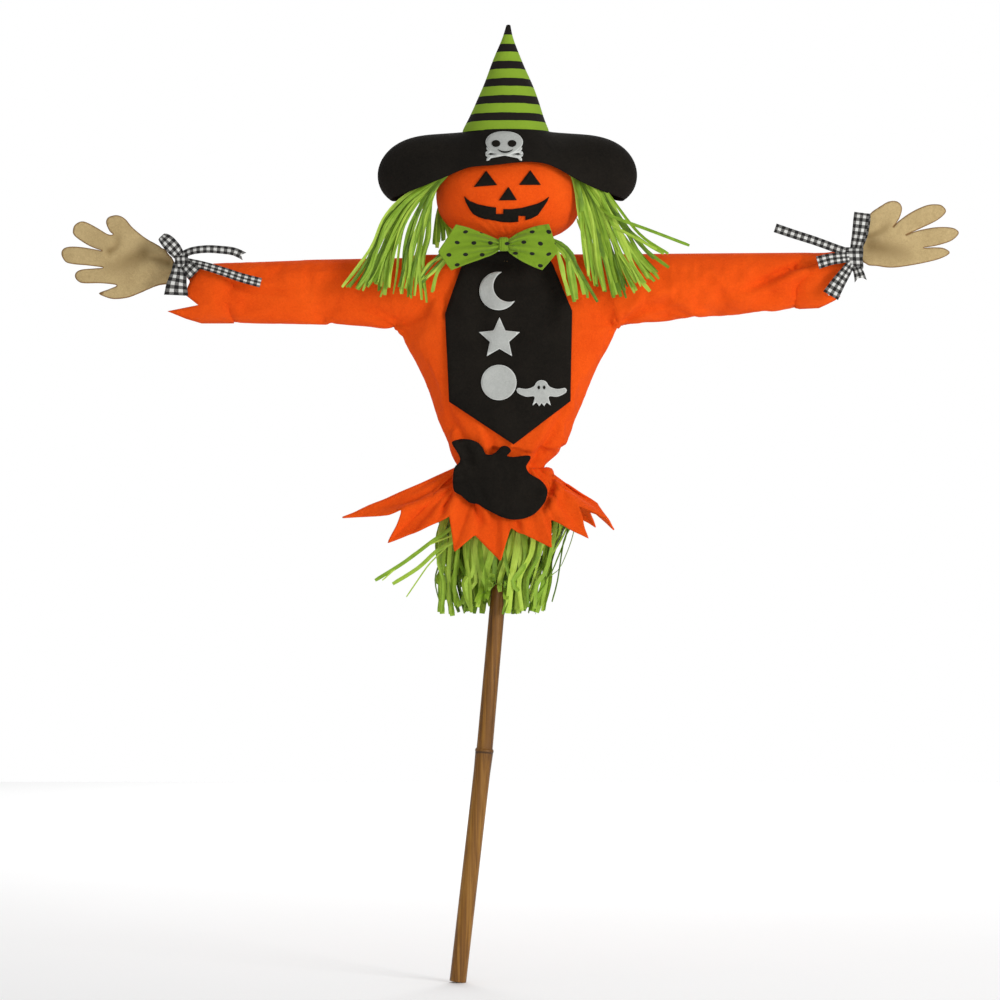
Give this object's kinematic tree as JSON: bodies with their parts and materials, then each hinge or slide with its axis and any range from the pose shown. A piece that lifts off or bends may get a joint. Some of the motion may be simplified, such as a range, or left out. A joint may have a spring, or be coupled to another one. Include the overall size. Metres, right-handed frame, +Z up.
{
  "type": "scarecrow figure",
  "caption": "Felt scarecrow on a bamboo stake, with a stuffed pumpkin head that turns, a pointed hat, raffia hair and skirt, and hands tied on with ribbon.",
  "frame": {"origin": "middle of the stake's flat foot", "axes": "+Z up; +X to the right of somebody facing the figure; the figure faces -Y"},
  "size_m": [0.9373, 0.1251, 1.0012],
  "materials": {
    "bamboo": "natural cane, semi-gloss",
    "orange_felt": "matte wool felt",
    "black_felt": "matte wool felt",
    "grey_felt": "printed felt",
    "tan_felt": "matte wool felt with a browned edge",
    "striped_felt": "green felt with black bands",
    "bow_cloth": "green cotton with black spots",
    "gingham": "woven black and white check",
    "raffia": "dyed raffia, slight sheen",
    "twine": "jute twine",
    "filling": "polyester fibre"
  },
  "bodies": {
    "figure": {"stake": "bamboo", "arm_cane": "bamboo", "cross_lashing": "twine", "waist_string": "twine", "skirt_binding": "twine", "collar_raffia_left": "raffia", "collar_raffia_right": "raffia", "tunic_front": "orange_felt", "tunic_back": "orange_felt", "hem_front": "orange_felt", "hem_back": "orange_felt", "bib_panel": "black_felt", "bib_moon": "grey_felt", "bib_star": "grey_felt", "bib_disc": "grey_felt", "bib_ghost": "grey_felt", "waist_patch": "black_felt", "raffia_skirt": "raffia", "bow_wing_left": "bow_cloth", "bow_wing_right": "bow_cloth", "bow_knot": "bow_cloth", "bow_band": "bow_cloth", "hand_tab_left": "tan_felt", "hand_tab_right": "tan_felt", "ribbon_band_left": "gingham", "ribbon_band_right": "gingham", "ribbon_knot_left": "gingham", "ribbon_knot_right": "gingham", "ribbon_loop_left": "gingham", "ribbon_loop_right": "gingham", "ribbon_tail_upper_left": "gingham", "ribbon_tail_upper_right": "gingham", "ribbon_tail_lower_left": "gingham", "ribbon_tail_lower_right": "gingham", "ribbon_tail_short_left": "gingham", "ribbon_tail_short_right": "gingham"},
    "head": {"head_front": "orange_felt", "head_back": "orange_felt", "head_filling": "filling", "neck_string": "twine", "eye_left": "black_felt", "eye_right": "black_felt", "nose": "black_felt", "mouth": "black_felt", "hat_cone": "striped_felt", "hat_brim": "black_felt", "hat_badge": "grey_felt", "hair_left": "raffia", "hair_right": "raffia", "hair_knot_left": "raffia", "hair_knot_right": "raffia"},
    "hand_left": {"hand_left": "tan_felt"},
    "hand_right": {"hand_right": "tan_felt"}
  },
  "joints": [
    {"name": "head_turn", "type": "hinge", "parent": "figure", "child": "head", "pos_m": [0.052, 0, 0.82], "axis": [0, 0, 1], "range_deg": [-30, 30], "deforming": ["hair_left", "hair_right"]},
    {"name": "wrist_left", "type": "hinge", "parent": "figure", "child": "hand_left", "pos_m": [-0.2963, 0.0128, 0.744], "axis": [0, 0, 1], "range_deg": [-35, 25]},
    {"name": "wrist_right", "type": "hinge", "parent": "figure", "child": "hand_right", "pos_m": [0.4165, 0.0128, 0.755], "axis": [0, 0, -1], "range_deg": [-35, 25]}
  ]
}
